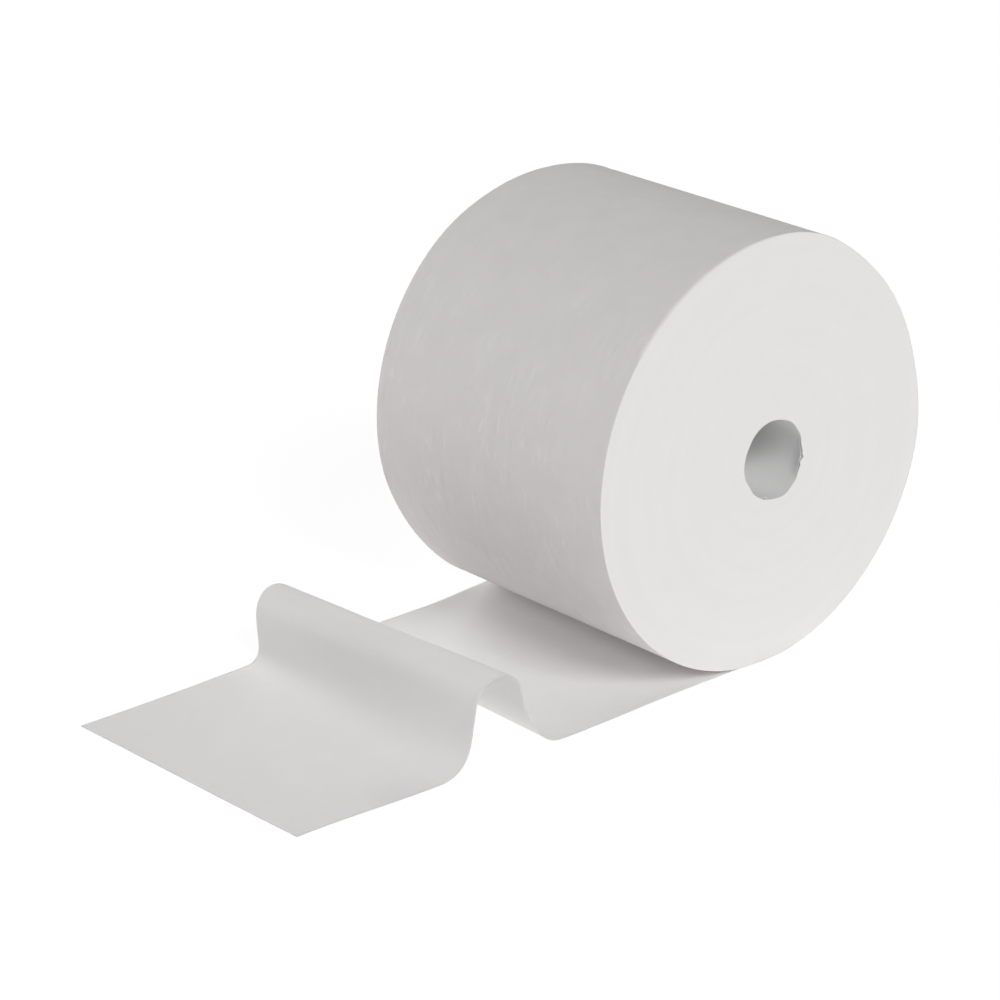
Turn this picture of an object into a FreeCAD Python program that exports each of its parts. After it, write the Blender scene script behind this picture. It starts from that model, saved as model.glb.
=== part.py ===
"""A jumbo wiper roll: one long strip of soft white paper, wound on itself without a core.

The roll lies on its side. Its last turn leaves the roll at the underside and runs forward along
the floor, stands up in one hump across its whole width, comes down again and ends in a straight
cut. All of it is one strip, so it is one solid.

Millimetres and degrees, +Z up. The origin is on the axis of the bore, midway between the ends of
the roll. X runs along the bore, and the strip runs off towards -Y.
"""

import FreeCAD, Part
import Sketcher
import math
import os

# Driving dimensions: name, value and meaning.
SIZES = [
    ("roll_diameter", 412.0, "outside of the wound strip"),
    ("web_width", 305.0, "width of the strip and length of the roll"),
    ("web_thickness", 0.4, "thickness of one layer of paper"),
    ("bore_diameter", 76.2, "hole that a dispenser's spindle goes through"),
    ("bore_setback", 12.0, "bore axis behind the middle of the roll's outline"),
    ("bore_drop", 7.2, "bore axis below the middle of the roll's outline"),
    ("flat_depth", 1.0, "how far the roll's weight presses its underside flat"),
    ("first_step_radius", 64.0, "inner radius of the first winding step on an end face"),
    ("step_pitch", 21.0, "distance from one winding step to the next"),
    ("step_growth", 2.0, "how much each later distance between steps grows"),
    ("step_band", 7.0, "width of the turns that stand back in a winding step"),
    ("step_depth", 0.5, "how far those turns stand back from the end face"),
    ("foot_radius", 27.0, "first bend of the hump, next to the floor"),
    ("bend_radius", 80.0, "wide bend that follows it up the back of the hump"),
    ("right_hump_gap", 44.0, "front of the roll to the foot of the hump"),
    ("right_hump_height", 80.8, "floor to the underside of the hump's crest"),
    ("right_foot_angle", 50.0, "slope where the first bend ends"),
    ("right_back_angle", 72.0, "slope of the hump's back"),
    ("right_shoulder_radius", 27.5, "bend from the back to the crest"),
    ("right_crown_radius", 40.0, "bend over the crest"),
    ("right_crown_angle", 30.0, "slope where the bend over the crest ends"),
    ("right_corner_radius", 12.0, "bend from the crest to the front"),
    ("right_front_angle", 77.5, "slope of the hump's front"),
    ("right_toe_radius", 29.0, "last bend, from the front to the floor"),
    ("right_end_run", 158.0, "flat run from the hump to the cut"),
    ("left_hump_gap", 39.5, "front of the roll to the foot of the hump"),
    ("left_hump_height", 75.0, "floor to the underside of the hump's crest"),
    ("left_foot_angle", 42.0, "slope where the first bend ends"),
    ("left_back_angle", 55.0, "slope of the hump's back"),
    ("left_shoulder_radius", 30.0, "bend from the back to the crest"),
    ("left_crown_radius", 20.0, "bend over the crest"),
    ("left_crown_angle", 53.0, "slope where the bend over the crest ends"),
    ("left_corner_radius", 33.0, "bend from the crest to the front"),
    ("left_front_angle", 94.0, "slope of the hump's front, which leans out over its foot"),
    ("left_toe_radius", 17.0, "last bend, from the front to the floor"),
    ("left_end_run", 183.0, "flat run from the hump to the cut"),
]
SIZE = {name: value for name, value, meaning in SIZES}

# Winding steps on each end face.
STEP_COUNT = 5
# How far a cutting profile stands out of the face that it cuts.
OVERSHOOT = 2.0

# Sketcher's numbers for the places on a sketch's geometry.
START, END, CENTRE = 1, 2, 3
ORIGIN_POINT = (-1, 1)
HORIZONTAL_AXIS = -1

UP = FreeCAD.Vector(0, 0, 1)


def add_sheet(doc):
    """Keeps every driving dimension in a spreadsheet, under its own name."""
    sheet = doc.addObject("Spreadsheet::Sheet", "Sizes")
    for row, (name, value, meaning) in enumerate(SIZES, start=1):
        sheet.set(f"A{row}", name)
        sheet.set(f"B{row}", str(value))
        sheet.set(f"C{row}", meaning)
        sheet.setAlias(f"B{row}", name)
    doc.recompute()
    return sheet


def add_sketch(body, name, plane_role, offsets):
    """Adds a sketch on one of the body's own planes, moved by expressions for its offset."""
    plane = next(item for item in body.Origin.OriginFeatures if item.Role == plane_role)
    sketch = body.newObject("Sketcher::SketchObject", name)
    sketch.AttachmentSupport = [(plane, "")]
    sketch.MapMode = "FlatFace"
    for direction, expression in offsets.items():
        sketch.setExpression(f"AttachmentOffset.Base.{direction}", expression)
    return sketch


def bind(sketch, kind, *places, value, expression):
    """Adds a dimension that follows the spreadsheet."""
    index = sketch.addConstraint(Sketcher.Constraint(kind, *places, value))
    sketch.setExpression(f"Constraints[{index}]", expression)


def relate(sketch, kind, *places):
    """Adds a constraint that has no value."""
    sketch.addConstraint(Sketcher.Constraint(kind, *places))


def add_line(sketch, first, last):
    """Adds a line and returns its number with its two ends in drawing order."""
    number = sketch.addGeometry(Part.LineSegment(first, last))
    return number, START, END


def add_arc(sketch, centre, first, last, clockwise):
    """Adds an arc from first to last and returns its number with its ends in that order."""
    circle = Part.Circle(centre, UP, first.distanceToPoint(centre))
    first_angle = circle.parameter(first)
    last_angle = circle.parameter(last)
    if clockwise:
        first_angle, last_angle = last_angle, first_angle
    if last_angle < first_angle:
        last_angle += 2 * math.pi
    number = sketch.addGeometry(Part.ArcOfCircle(circle, first_angle, last_angle))
    return (number, END, START) if clockwise else (number, START, END)


# ---------------------------------------------------------------------------------------------
# The wound roll
# ---------------------------------------------------------------------------------------------

def add_roll(body):
    """The wound strip: a cylinder whose own weight has pressed a narrow flat on its underside."""
    radius = SIZE["roll_diameter"] / 2
    height = radius - SIZE["flat_depth"]
    half_flat = math.sqrt(radius ** 2 - height ** 2)
    front = FreeCAD.Vector(-half_flat, 0, 0)
    rear = FreeCAD.Vector(half_flat, 0, 0)
    centre = FreeCAD.Vector(0, height, 0)

    sketch = add_sketch(body, "roll_outline", "YZ_Plane", {})
    turn, turn_first, turn_last = add_arc(sketch, centre, rear, front, clockwise=False)
    flat, flat_first, flat_last = add_line(sketch, front, rear)
    relate(sketch, "Coincident", turn, turn_last, flat, flat_first)
    relate(sketch, "Coincident", flat, flat_last, turn, turn_first)
    relate(sketch, "PointOnObject", flat, flat_first, HORIZONTAL_AXIS)
    relate(sketch, "PointOnObject", flat, flat_last, HORIZONTAL_AXIS)
    relate(sketch, "Vertical", *ORIGIN_POINT, turn, CENTRE)
    bind(sketch, "Radius", turn, value=radius, expression="Sizes.roll_diameter / 2")
    bind(sketch, "DistanceY", *ORIGIN_POINT, turn, CENTRE,
         value=height, expression="Sizes.roll_diameter / 2 - Sizes.flat_depth")

    roll = body.newObject("PartDesign::Pad", "wound_roll")
    roll.Profile = sketch
    roll.SideType = "Symmetric"
    roll.setExpression("Length", "Sizes.web_width")
    return roll


BORE_HEIGHT = "Sizes.roll_diameter / 2 - Sizes.flat_depth - Sizes.bore_drop"


def add_winding_steps(doc, body):
    """Bands of turns that stand back a little, where the strip wandered as it was wound."""
    sketch = add_sketch(body, "winding_steps", "XY_Plane",
                        {"y": "Sizes.bore_setback", "z": BORE_HEIGHT})
    face = SIZE["web_width"] / 2
    depth = SIZE["step_depth"]
    for step in range(STEP_COUNT):
        growth = step * (step - 1) / 2
        radius = SIZE["first_step_radius"] + step * SIZE["step_pitch"] + growth * SIZE["step_growth"]
        inner, outer = radius, radius + SIZE["step_band"]
        corners = [
            FreeCAD.Vector(face - depth, inner, 0),
            FreeCAD.Vector(face + OVERSHOOT, inner, 0),
            FreeCAD.Vector(face + OVERSHOOT, outer, 0),
            FreeCAD.Vector(face - depth, outer, 0),
        ]
        sides = [add_line(sketch, corners[i], corners[(i + 1) % 4])[0] for i in range(4)]
        for i in range(4):
            relate(sketch, "Coincident", sides[i], END, sides[(i + 1) % 4], START)
            relate(sketch, "Vertical" if i % 2 else "Horizontal", sides[i])
        bind(sketch, "DistanceX", *ORIGIN_POINT, sides[0], START,
             value=face - depth, expression="Sizes.web_width / 2 - Sizes.step_depth")
        bind(sketch, "DistanceX", sides[0], START, sides[0], END,
             value=depth + OVERSHOOT, expression=f"Sizes.step_depth + {OVERSHOOT}")
        bind(sketch, "DistanceY", *ORIGIN_POINT, sides[0], START, value=inner,
             expression=f"Sizes.first_step_radius + {step} * Sizes.step_pitch"
                        f" + {growth} * Sizes.step_growth")
        bind(sketch, "DistanceY", sides[1], START, sides[1], END,
             value=outer - inner, expression="Sizes.step_band")

    steps = body.newObject("PartDesign::Groove", "right_winding_steps")
    steps.Profile = sketch
    steps.ReferenceAxis = (sketch, ["H_Axis"])
    steps.Angle = 360
    doc.recompute()

    middle = next(item for item in body.Origin.OriginFeatures if item.Role == "YZ_Plane")
    mirrored = body.newObject("PartDesign::Mirrored", "left_winding_steps")
    mirrored.Originals = [steps]
    mirrored.MirrorPlane = (middle, [""])
    body.Tip = mirrored
    return mirrored


def add_bore(body):
    """The hole through the roll, off the middle of the outline because the roll has settled."""
    sketch = add_sketch(body, "bore_outline", "YZ_Plane", {})
    height = SIZE["roll_diameter"] / 2 - SIZE["flat_depth"] - SIZE["bore_drop"]
    centre = FreeCAD.Vector(SIZE["bore_setback"], height, 0)
    hole = sketch.addGeometry(Part.Circle(centre, UP, SIZE["bore_diameter"] / 2))
    bind(sketch, "Diameter", hole, value=SIZE["bore_diameter"], expression="Sizes.bore_diameter")
    bind(sketch, "DistanceX", *ORIGIN_POINT, hole, CENTRE,
         value=centre.x, expression="Sizes.bore_setback")
    bind(sketch, "DistanceY", *ORIGIN_POINT, hole, CENTRE,
         value=centre.y, expression=BORE_HEIGHT)

    bore = body.newObject("PartDesign::Pocket", "bore")
    bore.Profile = sketch
    bore.SideType = "Symmetric"
    bore.Type = "ThroughAll"
    return bore


# ---------------------------------------------------------------------------------------------
# The strip that has been pulled off
# ---------------------------------------------------------------------------------------------

def walk(edge):
    """Follows one edge of the strip's underside from below the roll to the cut.

    Returns its joints, each as a distance from the roll's middle, a height and a slope, and its
    spans, each as a name and, for a bend, its radius: positive where it bends up.
    """
    def size(name):
        return SIZE[f"{edge}_{name}"]

    slopes = [0, 0, size("foot_angle"), size("back_angle"), size("back_angle"), 0,
              -size("crown_angle"), -size("front_angle"), -size("front_angle"), 0, 0]
    slopes = [math.radians(slope) for slope in slopes]
    spans = [
        ("flat", 0),
        ("foot", SIZE["foot_radius"]),
        ("bend", SIZE["bend_radius"]),
        ("back", 0),
        ("shoulder", -size("shoulder_radius")),
        ("crown", -size("crown_radius")),
        ("corner", -size("corner_radius")),
        ("front", 0),
        ("toe", size("toe_radius")),
        ("end", 0),
    ]

    def rise(index):
        radius = spans[index][1]
        return radius * (math.cos(slopes[index]) - math.cos(slopes[index + 1]))

    crest = size("hump_height")
    back_length = (crest - rise(1) - rise(2) - rise(4)) / math.sin(slopes[3])
    front_length = (crest + rise(5) + rise(6) + rise(8)) / math.sin(-slopes[7])
    lengths = {
        "flat": SIZE["roll_diameter"] / 2 + size("hump_gap"),
        "back": back_length,
        "front": front_length,
        "end": size("end_run"),
    }

    joints = [(0.0, 0.0, slopes[0])]
    for index, (name, radius) in enumerate(spans):
        reach, height, slope = joints[-1]
        following = slopes[index + 1]
        if radius:
            reach += radius * (math.sin(following) - math.sin(slope))
            height += rise(index)
        else:
            reach += lengths[name] * math.cos(slope)
            height += lengths[name] * math.sin(slope)
        joints.append((reach, height, following))
    return joints, spans


def add_chain(sketch, joints, spans, lift):
    """Draws one face of the strip, at the given distance above its underside."""
    def place(joint):
        reach, height, slope = joint
        return FreeCAD.Vector(-reach + lift * math.sin(slope), height + lift * math.cos(slope), 0)

    chain = {}
    for (name, radius), before, after in zip(spans, joints, joints[1:]):
        if radius:
            reach, height, slope = before
            centre = FreeCAD.Vector(-reach + radius * math.sin(slope),
                                    height + radius * math.cos(slope), 0)
            chain[name] = add_arc(sketch, centre, place(before), place(after), radius > 0)
        else:
            chain[name] = add_line(sketch, place(before), place(after))
    return chain


def add_edge_profile(body, edge, side):
    """The strip's section along one of its edges: an underside and, one thickness on, a top."""
    sketch = add_sketch(body, f"{edge}_edge", "YZ_Plane", {"z": f"{side} * Sizes.web_width / 2"})
    joints, spans = walk(edge)
    names = [name for name, radius in spans]
    thickness = SIZE["web_thickness"]
    under = add_chain(sketch, joints, spans, 0)
    top = add_chain(sketch, joints, spans, thickness)

    def first(chain, name):
        return chain[name][0], chain[name][1]

    def last(chain, name):
        return chain[name][0], chain[name][2]

    def centre(chain, name):
        return chain[name][0], CENTRE

    # Each span of the underside runs smoothly into the next.
    for name, following in zip(names, names[1:]):
        relate(sketch, "Tangent", *last(under, name), *first(under, following))

    # Sizes of the underside.
    shared = {"foot", "bend"}
    for name, radius in spans:
        if radius:
            cell = f"Sizes.{name}_radius" if name in shared else f"Sizes.{edge}_{name}_radius"
            bind(sketch, "Radius", under[name][0], value=abs(radius), expression=cell)
            sign = "-" if radius > 0 else "+"
            top_radius = abs(radius) - math.copysign(thickness, radius)
            bind(sketch, "Radius", top[name][0], value=top_radius,
                 expression=f"{cell} {sign} Sizes.web_thickness")

    relate(sketch, "Coincident", *first(under, "flat"), *ORIGIN_POINT)
    relate(sketch, "Horizontal", under["flat"][0])
    bind(sketch, "DistanceX", *last(under, "flat"), *first(under, "flat"), value=joints[1][0],
         expression=f"Sizes.roll_diameter / 2 + Sizes.{edge}_hump_gap")
    bind(sketch, "DistanceX", *last(under, "foot"), *centre(under, "foot"),
         value=SIZE["foot_radius"] * math.sin(joints[2][2]),
         expression=f"Sizes.foot_radius * sin(Sizes.{edge}_foot_angle)")
    bind(sketch, "Angle", under["back"][0], value=math.pi - joints[3][2],
         expression=f"180 - Sizes.{edge}_back_angle")
    relate(sketch, "Vertical", *last(under, "shoulder"), *centre(under, "shoulder"))
    bind(sketch, "DistanceY", *ORIGIN_POINT, *last(under, "shoulder"), value=joints[5][1],
         expression=f"Sizes.{edge}_hump_height")
    bind(sketch, "DistanceX", *last(under, "crown"), *centre(under, "crown"),
         value=SIZE[f"{edge}_crown_radius"] * math.sin(-joints[6][2]),
         expression=f"Sizes.{edge}_crown_radius * sin(Sizes.{edge}_crown_angle)")
    bind(sketch, "Angle", under["front"][0], value=-joints[7][2] - math.pi,
         expression=f"Sizes.{edge}_front_angle - 180")
    relate(sketch, "Horizontal", under["end"][0])
    relate(sketch, "PointOnObject", *last(under, "end"), HORIZONTAL_AXIS)
    bind(sketch, "DistanceX", *last(under, "end"), *first(under, "end"),
         value=SIZE[f"{edge}_end_run"], expression=f"Sizes.{edge}_end_run")

    # The top lies one thickness from the underside, square to it at each joint.
    for name, following in zip(names, names[1:]):
        relate(sketch, "Coincident", *last(top, name), *first(top, following))
    below = [first(under, name) for name in names] + [last(under, names[-1])]
    above = [first(top, name) for name in names] + [last(top, names[-1])]
    angles = ["", "", "foot", "back", "back", "", "crown", "front", "front", "", ""]
    for low, high, joint, angle in zip(below, above, joints, angles):
        slope = joint[2]
        if not angle:
            relate(sketch, "Vertical", *low, *high)
            bind(sketch, "DistanceY", *low, *high,
                 value=thickness, expression="Sizes.web_thickness")
            continue
        cell = f"Sizes.{edge}_{angle}_angle"
        rightward = (low, high) if slope > 0 else (high, low)
        bind(sketch, "DistanceX", *rightward[0], *rightward[1],
             value=thickness * math.sin(abs(slope)), expression=f"Sizes.web_thickness * sin({cell})")
        bind(sketch, "DistanceY", *low, *high,
             value=thickness * math.cos(slope), expression=f"Sizes.web_thickness * cos({cell})")

    # The cut end, and the end that is still part of the roll.
    for low, high in ((below[0], above[0]), (below[-1], above[-1])):
        cap = sketch.addGeometry(Part.LineSegment(sketch.getPoint(*low), sketch.getPoint(*high)))
        relate(sketch, "Coincident", cap, START, *low)
        relate(sketch, "Coincident", cap, END, *high)
    return sketch


def add_pulled_strip(body):
    """The strip on the floor, drawn from the section at its right edge to that at its left."""
    right = add_edge_profile(body, "right", 1)
    left = add_edge_profile(body, "left", -1)
    strip = body.newObject("PartDesign::AdditiveLoft", "pulled_strip")
    strip.Profile = right
    strip.Sections = [left]
    strip.Ruled = True
    return strip


# ---------------------------------------------------------------------------------------------

def add_wiper_roll(doc):
    """The whole strip, wound and pulled off, with the bore's axis as its origin."""
    body = doc.addObject("PartDesign::Body", "wiper_roll")
    body.Label = "wiper_roll"
    add_roll(body)
    add_winding_steps(doc, body)
    add_pulled_strip(body)
    add_bore(body)
    body.setExpression("Placement.Base.y", "-Sizes.bore_setback")
    body.setExpression("Placement.Base.z", f"-({BORE_HEIGHT})")
    return body


def check(doc, parts):
    """Stops if any object of the document failed or any part isn't one sound solid."""
    for item in doc.Objects:
        if "Invalid" in item.State or "Error" in item.State:
            raise RuntimeError(f"{item.Label} failed: {item.State}")
    for part in parts:
        if part.Shape.isNull() or not part.Shape.isValid():
            raise RuntimeError(f"{part.Label} has no valid shape")
        if len(part.Shape.Solids) != 1:
            raise RuntimeError(f"{part.Label} has {len(part.Shape.Solids)} solids")


def main():
    doc = FreeCAD.newDocument("wiper_roll")
    add_sheet(doc)
    parts = [add_wiper_roll(doc)]
    doc.recompute()
    check(doc, parts)
    os.makedirs("parts", exist_ok=True)
    for part in parts:
        part.Shape.exportStep(f"parts/{part.Label}.step")
        box = part.Shape.BoundBox
        print(part.Label, "volume", round(part.Shape.Volume), "box", box)


main()
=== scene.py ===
"""A jumbo roll of white wiper paper, wound without a core, with its last sheets pulled off.

The roll lies on its side. Its last turn comes away at the underside and runs forward along the
floor, stands up in one hump across its width, comes down again and ends in a straight cut.

Metres, +Z up. The origin is on the axis of the bore, midway between the ends of the roll. X runs
along the bore, and the web runs off towards -Y.
"""

import math

import bpy
import numpy as np
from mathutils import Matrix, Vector


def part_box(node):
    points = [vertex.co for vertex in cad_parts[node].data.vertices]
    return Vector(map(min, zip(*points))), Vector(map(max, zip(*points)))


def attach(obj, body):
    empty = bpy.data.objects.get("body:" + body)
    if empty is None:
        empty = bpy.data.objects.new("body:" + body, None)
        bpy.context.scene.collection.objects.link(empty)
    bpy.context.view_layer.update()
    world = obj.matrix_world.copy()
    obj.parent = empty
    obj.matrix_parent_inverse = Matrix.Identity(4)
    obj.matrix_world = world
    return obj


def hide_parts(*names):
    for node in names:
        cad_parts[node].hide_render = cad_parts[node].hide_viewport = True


bl_info = {
    "name": "Wiper Roll",
    "version": (1, 0, 0),
    "blender": (4, 5, 0),
    "location": "3D View > Sidebar > Wiper Roll",
    "description": "Builds a coreless roll of wiper paper with its last sheets pulled off",
    "category": "Object",
}

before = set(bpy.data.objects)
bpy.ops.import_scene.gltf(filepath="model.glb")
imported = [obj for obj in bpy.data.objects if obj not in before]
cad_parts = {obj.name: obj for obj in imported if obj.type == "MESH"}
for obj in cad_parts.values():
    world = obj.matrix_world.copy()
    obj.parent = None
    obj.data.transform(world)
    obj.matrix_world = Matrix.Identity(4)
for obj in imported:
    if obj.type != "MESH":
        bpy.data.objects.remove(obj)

CAD_NODE = "wiper_roll"
MM = 0.001
FULL_TURN = 2 * math.pi
QUARTER_TURN = math.pi / 2
CAD_LOW, CAD_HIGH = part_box(CAD_NODE)


# ---- Sizes and colours ----

def length(name, default, description):
    """A property that holds a distance in metres."""
    return bpy.props.FloatProperty(name=name, description=description, default=default,
                                   subtype="DISTANCE", unit="LENGTH", precision=5)


def angle(name, degrees, description):
    """A property that holds an angle."""
    return bpy.props.FloatProperty(name=name, description=description,
                                   default=math.radians(degrees), subtype="ANGLE",
                                   unit="ROTATION")


def share(name, default, description):
    """A property that holds a plain share or strength."""
    return bpy.props.FloatProperty(name=name, description=description, default=default,
                                   min=0.0, soft_max=1.0, subtype="FACTOR")


def tint(name, default, description):
    """A property that holds a colour."""
    return bpy.props.FloatVectorProperty(name=name, description=description, default=default,
                                         size=3, min=0.0, max=1.0, subtype="COLOR")


class WIPER_PG_roll(bpy.types.PropertyGroup):
    """Sizes of the wound roll"""
    radius: length("Radius", 206 * MM, "Radius of the wound roll")
    width: length("Width", CAD_HIGH.x - CAD_LOW.x, "Width of the web and length of the roll")
    bore_radius: length("Bore radius", 38.1 * MM, "Radius of the hole through the roll")
    bore_setback: length("Bore setback", 9 * MM, "Bore axis behind the middle of the outline")
    bore_drop: length("Bore drop", 7.2 * MM, "Bore axis below the middle of the outline")
    floor_drop: length("Floor drop", -CAD_LOW.z, "Bore axis above the floor")
    rim_rounding: length("Rim rounding", 0.9 * MM, "Rounding of the outermost turns' edge")
    mouth_rounding: length("Mouth rounding", 0.4 * MM, "Rounding of the innermost turns' edge")
    slack: share("Slack", 0.029, "How far the upper rear has settled, as a share of the radius")
    left_slack: share("Left slack", 0.0126, "How far the left end's top has settled, likewise")
    front_flat: share("Front flat", 0.0125, "How far the left end's front is flat, likewise")
    step_depth: length("Winding step", 0.14 * MM, "How far bands of turns stand back in an end")
    edge_inset: length("Edge inset", 17.5 * MM, "Left edge of the last turn to the end of the roll")
    crease_depth: length("Crease depth", 0.1 * MM, "Depth of the fine creases round the roll")
    seed: bpy.props.IntProperty(name="Seed", description="Picks the creases", default=7, min=0)


class WIPER_PG_web(bpy.types.PropertyGroup):
    """Sizes of the web and of the run that has been pulled off"""
    thickness: length("Thickness", 0.4 * MM, "Thickness of one layer of paper")
    foot_radius: length("Foot radius", 27 * MM, "First bend of the hump, next to the floor")
    bend_radius: length("Bend radius", 80 * MM, "Wide bend that follows it")
    nip_lift: length("Nip lift", 4.9 * MM, "Height of the left edge where it leaves the roll")
    toe_lift: length("Toe lift", 1.4 * MM, "Height of the left edge where the hump ends")
    waviness: length("Waviness", 0.5 * MM, "Height of the slight waves in the flat runs")


EDGE_SIZES = (
    ("hump_gap", length, 47.6 * MM, 40.5 * MM, "Front of the roll to the foot of the hump"),
    ("hump_height", length, 81.2 * MM, 73.6 * MM, "Floor to the underside of the crest"),
    ("foot_angle", angle, 42.7, 42, "Slope where the first bend ends"),
    ("back_angle", angle, 81.4, 52.2, "Slope of the hump's back"),
    ("shoulder_radius", length, 23.8 * MM, 28.1 * MM, "Bend from the back to the crest"),
    ("crown_radius", length, 41.8 * MM, 16.6 * MM, "Bend over the crest"),
    ("crown_angle", angle, 30.8, 52.5, "Slope where the bend over the crest ends"),
    ("corner_radius", length, 13.2 * MM, 32.2 * MM, "Bend from the crest to the front"),
    ("front_angle", angle, 80, 95, "Slope of the hump's front"),
    ("toe_radius", length, 32.7 * MM, 12.6 * MM, "Last bend, from the front to the floor"),
    ("end_run", length, 155.5 * MM, 190.2 * MM, "Flat run from the hump to the cut"),
    ("nip_inset", length, 1.9 * MM, 0.0, "How far in the edge lies where it leaves the roll"),
    ("flare", length, 1.6 * MM, 0.0, "How far out the edge lies at the hump"),
    ("narrowing", length, 5.5 * MM, 2.7 * MM, "How far the edge runs in from the hump to the cut"),
)


def edge_properties(column):
    """The sizes of one edge's shape, with that edge's own defaults."""
    return {size[0]: size[1](size[0].replace("_", " ").capitalize(), size[column], size[4])
            for size in EDGE_SIZES}


class WIPER_PG_right_edge(bpy.types.PropertyGroup):
    """Shape of the hump along the web's right edge"""
    __annotations__ = edge_properties(2)


class WIPER_PG_left_edge(bpy.types.PropertyGroup):
    """Shape of the hump along the web's left edge"""
    __annotations__ = edge_properties(3)


class WIPER_PG_look(bpy.types.PropertyGroup):
    """Colours of the paper and the stage"""
    paper: tint("Paper", (0.810, 0.798, 0.788), "Colour of the wound paper's edges")
    side: tint("Side", (0.832, 0.811, 0.801), "Colour of the last turn, round the roll")
    sheet: tint("Sheet", (0.945, 0.938, 0.936), "Colour of one layer, which lets light through")
    bore: tint("Bore", (0.800, 0.800, 0.798), "Colour of the bore's wall")
    # Shade darkens the paper's own clouds and the soft bands of the end faces, and on the bore and
    # the web it is also the painted shade of the crepe.
    shade: share("Shade", 0.97, "How dark the darker patches are, as a share of the paper")
    # Crease shade darkens the side's clouds and is the painted shade of the creases round the roll:
    # darker in the furrows, lighter on the ridges.
    crease_shade: share("Crease shade", 0.88, "How dark the creases round the roll are, likewise")
    see_through: share("See-through", 0.48, "How much light goes through one layer")
    floor: tint("Floor", (0.95, 0.95, 0.95), "Colour of the floor")
    grain: share("Grain", 0.25, "Strength of the fibre grain")
    crepe: share("Crepe", 2.0, "Strength of the fine lines round the roll")


# ---- Node trees ----

def arithmetic(operation, swapped=False):
    """A method of Wire that adds a Math node."""
    def method(self, other):
        values = (other, self) if swapped else (self, other)
        return self.graph.math(operation, *values)
    return method


class Wire:
    """A value in a node tree. Arithmetic on it adds the Math node that works it out."""

    def __init__(self, graph, socket):
        self.graph = graph
        self.socket = socket

    __add__ = __radd__ = arithmetic("ADD")
    __sub__ = arithmetic("SUBTRACT")
    __rsub__ = arithmetic("SUBTRACT", swapped=True)
    __mul__ = arithmetic("MULTIPLY")
    __truediv__ = arithmetic("DIVIDE")
    __rtruediv__ = arithmetic("DIVIDE", swapped=True)
    __pow__ = arithmetic("POWER")


def total(wires):
    """The sum of some wires."""
    first, *others = wires
    return sum(others, first)


class Graph:
    """Adds nodes to a tree, sets or links their inputs, and lays them out in columns."""

    ROWS = 12
    COLUMN_WIDTH = 190
    ROW_HEIGHT = 170

    def __init__(self, tree):
        self.tree = tree
        self.count = 0

    def feed(self, value, socket):
        """Links a wire to a socket, or sets a plain value on it."""
        if isinstance(value, Wire):
            self.tree.links.new(value.socket, socket)
        else:
            socket.default_value = value

    def node(self, kind, inputs=None, **settings):
        """Adds a node. The inputs are keyed by name or number."""
        node = self.tree.nodes.new(kind)
        node.location = (self.count // self.ROWS * self.COLUMN_WIDTH,
                         -(self.count % self.ROWS) * self.ROW_HEIGHT)
        self.count += 1
        for name, value in settings.items():
            setattr(node, name, value)
        for key, value in (inputs or {}).items():
            self.feed(value, node.inputs[key])
        return node

    def wire(self, kind, inputs=None, output=0, **settings):
        """Adds a node and returns one of its outputs."""
        return Wire(self, self.node(kind, inputs, **settings).outputs[output])

    def math(self, operation, *values):
        """A Math node."""
        return self.wire("ShaderNodeMath", dict(enumerate(values)), operation=operation)

    def ramp(self, value, start, end, low=0.0, high=1.0, smooth=False):
        """Goes from low at start to high at end, and stays there on both sides."""
        return self.wire("ShaderNodeMapRange",
                         {"Value": value, "From Min": start, "From Max": end,
                          "To Min": low, "To Max": high},
                         interpolation_type="SMOOTHSTEP" if smooth else "LINEAR", clamp=True)

    def bump_at(self, angle_wire, middle_degrees, half_width_degrees):
        """One at an angle, falling smoothly to zero at a half width on both sides of it."""
        away = self.math("WRAP", angle_wire - math.radians(middle_degrees), math.pi, -math.pi)
        return self.ramp(self.math("ABSOLUTE", away), 0.0, math.radians(half_width_degrees),
                         1.0, 0.0, smooth=True)

    def vector(self, x, y, z):
        """Three values as a vector."""
        return self.wire("ShaderNodeCombineXYZ", {0: x, 1: y, 2: z})

    def parts(self, vector):
        """The three values of a vector."""
        node = self.node("ShaderNodeSeparateXYZ", {0: vector})
        return [Wire(self, node.outputs[i]) for i in range(3)]

    def noise(self, vector, scale=1.0, detail=2.0, roughness=0.5):
        """Noise from about -1 to 1."""
        value = self.wire("ShaderNodeTexNoise", {"Vector": vector, "Scale": scale,
                                                 "Detail": detail, "Roughness": roughness})
        return (value - 0.5) * 2.0


def new_tree(name, kind, inputs, outputs):
    """A node group whose inputs and outputs have these names and kinds. Returns its graph, its
    inputs by name and its outputs node."""
    tree = bpy.data.node_groups.new(name, kind)
    for direction, sockets in (("INPUT", inputs), ("OUTPUT", outputs)):
        for socket_name, socket_kind in sockets.items():
            tree.interface.new_socket(name=socket_name, in_out=direction,
                                      socket_type="NodeSocket" + socket_kind)
    graph = Graph(tree)
    source = graph.node("NodeGroupInput")
    sink = tree.nodes.new("NodeGroupOutput")
    return graph, {each: Wire(graph, source.outputs[each]) for each in inputs}, sink


def finish_tree(graph, sink, values):
    """Links the values to the tree's outputs and puts the outputs node at the far end."""
    for name, value in values.items():
        graph.feed(value, sink.inputs[name])
    sink.location = ((graph.count // graph.ROWS + 1) * graph.COLUMN_WIDTH, 0)


def cleared_graph(holder):
    """An empty node graph in a material or a world."""
    holder.use_nodes = True
    holder.node_tree.nodes.clear()
    return Graph(holder.node_tree)


def link_object(name, data):
    """Adds an object to the scene. A mesh holds its own place."""
    made = bpy.data.objects.new(name, data)
    bpy.context.scene.collection.objects.link(made)
    return made


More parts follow.
